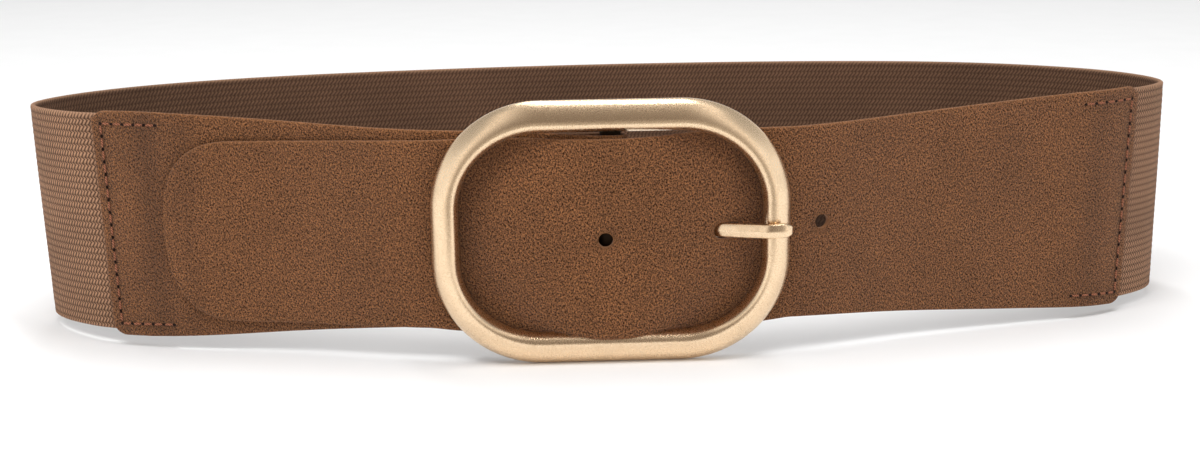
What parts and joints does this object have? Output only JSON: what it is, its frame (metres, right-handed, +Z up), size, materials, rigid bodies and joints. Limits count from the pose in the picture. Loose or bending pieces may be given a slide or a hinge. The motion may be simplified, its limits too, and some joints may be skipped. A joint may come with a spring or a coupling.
{
  "type": "elastic stretch belt",
  "caption": "Wide elastic waist belt with suede-like end straps, fastened by an oval ring buckle with a prong, standing on its lower edge.",
  "frame": {"origin": "under the middle of the belt's bounding box, on the surface that it stands on", "axes": "+Z up, from the lower edge to the upper one; -Y towards the buckle at the front; +X to the right of a viewer who faces the buckle"},
  "size_m": [0.321, 0.142, 0.0693],
  "materials": {
    "elastic": "woven elastic webbing, matt",
    "suede": "napped suede, matt",
    "pale_gold": "satin pale gold plating on a cast alloy"
  },
  "bodies": {
    "root": {"elastic_band": "elastic", "buckle_strap": "suede", "tongue_strap": "suede", "buckle_frame": "pale_gold", "prong": "pale_gold"}
  },
  "joints": []
}
